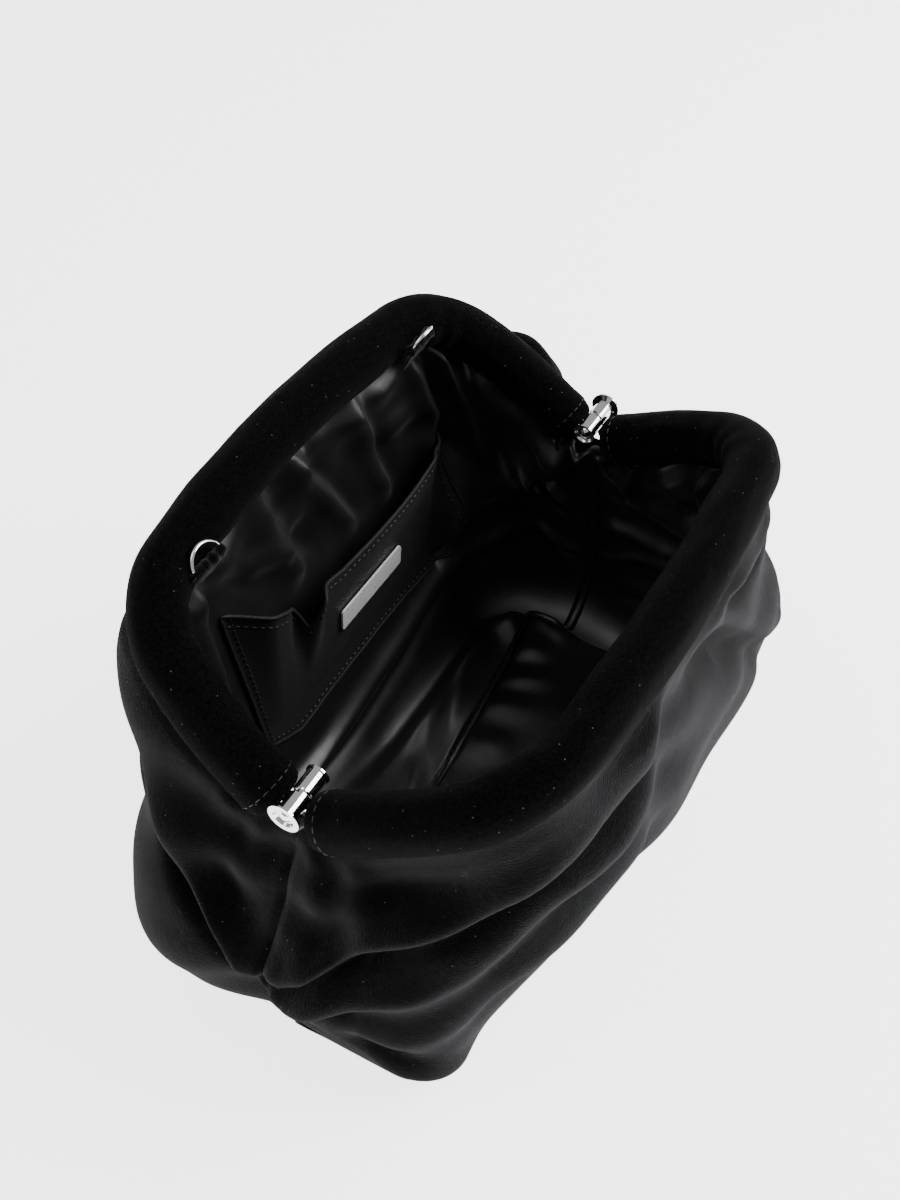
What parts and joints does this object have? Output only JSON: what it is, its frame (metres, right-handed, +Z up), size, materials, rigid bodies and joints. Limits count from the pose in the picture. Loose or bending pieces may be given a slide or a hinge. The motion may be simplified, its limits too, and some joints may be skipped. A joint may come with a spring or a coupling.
{
  "type": "clutch purse",
  "caption": "Soft velvet clutch purse on two padded bracket frames that open about chrome barrel hinges, satin lined, with a slip pocket.",
  "frame": {"origin": "middle of the base, on the surface that the purse stands on", "axes": "+X along the hinge line, -Y towards the front frame, +Z up"},
  "size_m": [0.2664, 0.1819, 0.185],
  "materials": {
    "velvet": "short-pile velvet",
    "satin": "satin-weave lining",
    "pocket_cloth": "dull twill",
    "stiffener": "non-woven interlining",
    "foam": "soft foam",
    "chrome": "polished",
    "steel": "plain",
    "magnet": "nickel plated"
  },
  "bodies": {
    "bag": {"front_body_panel": "velvet", "rear_body_panel": "velvet", "front_stiffener": "stiffener", "rear_stiffener": "stiffener", "front_lining_panel": "satin", "rear_lining_panel": "satin", "slip_pocket": "pocket_cloth", "name_plate": "chrome", "plate_backing": "steel"},
    "front_frame": {"front_frame_tube": "steel", "front_foam_roll": "foam", "front_frame_sleeve": "velvet", "front_closing_magnets": "magnet", "left_outer_knuckle": "chrome", "right_outer_knuckle": "chrome", "left_hinge_pin": "chrome", "right_hinge_pin": "chrome"},
    "rear_frame": {"rear_frame_tube": "steel", "rear_foam_roll": "foam", "rear_frame_sleeve": "velvet", "rear_closing_magnets": "magnet", "left_inner_knuckle": "chrome", "right_inner_knuckle": "chrome", "left_ring_tab": "velvet", "right_ring_tab": "velvet"},
    "left_ring": {"left_d_ring": "chrome"},
    "right_ring": {"right_d_ring": "chrome"}
  },
  "joints": [
    {"name": "front_frame_close", "type": "hinge", "parent": "bag", "child": "front_frame", "pos_m": [0, 0, 0.1286], "axis": [-1, 0, 0], "range_deg": [0, 59]},
    {"name": "rear_frame_close", "type": "hinge", "parent": "bag", "child": "rear_frame", "pos_m": [0, 0, 0.1286], "axis": [1, 0, 0], "range_deg": [0, 52.2]},
    {"name": "left_ring_swing", "type": "hinge", "parent": "rear_frame", "child": "left_ring", "pos_m": [-0.07, 0.0611, 0.1722], "axis": [1, 0, 0], "range_deg": [0, 196]},
    {"name": "right_ring_swing", "type": "hinge", "parent": "rear_frame", "child": "right_ring", "pos_m": [0.07, 0.0611, 0.1722], "axis": [1, 0, 0], "range_deg": [-54, 142]}
  ],
  "couplings": [
    {"joint": "rear_frame_close", "follows": "front_frame_close", "ratio": 0.8847}
  ]
}
